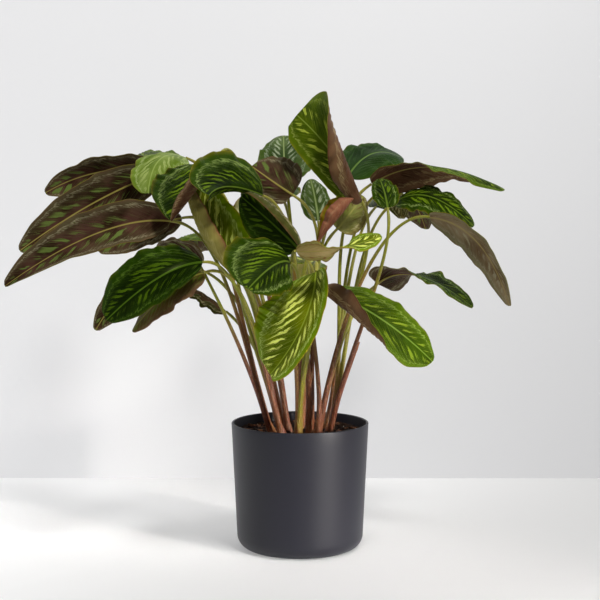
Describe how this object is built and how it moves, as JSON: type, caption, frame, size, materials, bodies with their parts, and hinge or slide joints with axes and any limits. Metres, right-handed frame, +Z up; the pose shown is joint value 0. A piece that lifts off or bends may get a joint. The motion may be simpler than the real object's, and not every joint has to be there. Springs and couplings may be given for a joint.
{
  "type": "potted calathea",
  "caption": "Bushy patterned calathea with long stalks and drooping oval leaves, green above and purple beneath, in soil in a plain round charcoal pot.",
  "frame": {"origin": "Centre of the pot's flat foot, on the surface it stands on.", "axes": "+Z is up. -Y is the front, the side with the pale young leaf hanging over the pot. +X is the viewer's right, and the long drooping leaves reach furthest towards -X."},
  "size_m": [0.6304, 0.4663, 0.5937],
  "materials": {
    "pot": "satin",
    "soil": "matte",
    "stalk": "satin",
    "leaf_dark": "satin",
    "leaf_mid": "satin",
    "leaf_young": "satin",
    "leaf_purple": "satin"
  },
  "bodies": {
    "root": {"pot": "pot", "soil": "soil", "shoot_far_left": "stalk", "shoot_front_left": "stalk", "shoot_centre_left": "stalk", "shoot_front": "stalk", "shoot_centre": "stalk", "shoot_centre_back": "stalk", "shoot_front_right": "stalk", "shoot_far_right": "stalk", "shoot_back_left": "stalk", "shoot_back": "stalk", "shoot_back_right": "stalk", "leaf_long_left": "leaf_purple", "leaf_left_flap": "leaf_purple", "leaf_mid_left": "leaf_purple", "leaf_high_left": "leaf_purple", "leaf_far_left": "leaf_mid", "leaf_young_left": "leaf_young", "leaf_round_left": "leaf_dark", "leaf_young_roll": "leaf_young", "leaf_centre_left": "leaf_dark", "leaf_under_top": "leaf_purple", "leaf_silver_top": "leaf_mid", "leaf_tall_top": "leaf_mid", "leaf_upper_right": "leaf_dark", "leaf_right_twist": "leaf_purple", "leaf_small_right": "leaf_dark", "leaf_right_droop": "leaf_dark", "leaf_right_hidden": "leaf_purple", "leaf_right_low": "leaf_purple", "leaf_right_fold": "leaf_purple", "leaf_front_right": "leaf_dark", "leaf_young_front": "leaf_young", "leaf_front_left": "leaf_dark", "leaf_front_edge": "leaf_mid", "leaf_dark_hang": "leaf_dark", "leaf_pale_small": "leaf_young", "leaf_rolled_new": "leaf_purple", "leaf_grey_back": "leaf_mid", "leaf_mottled": "leaf_purple", "leaf_low_left": "leaf_dark", "leaf_low_left_back": "leaf_purple", "leaf_low_left_under": "leaf_mid", "leaf_low_left_far": "leaf_purple", "leaf_dry_curl": "leaf_purple", "leaf_back_low_left": "leaf_mid", "leaf_back_high": "leaf_dark", "leaf_back_mid": "leaf_young", "leaf_back_right_high": "leaf_dark", "leaf_back_right_low": "leaf_mid"}
  },
  "joints": []
}
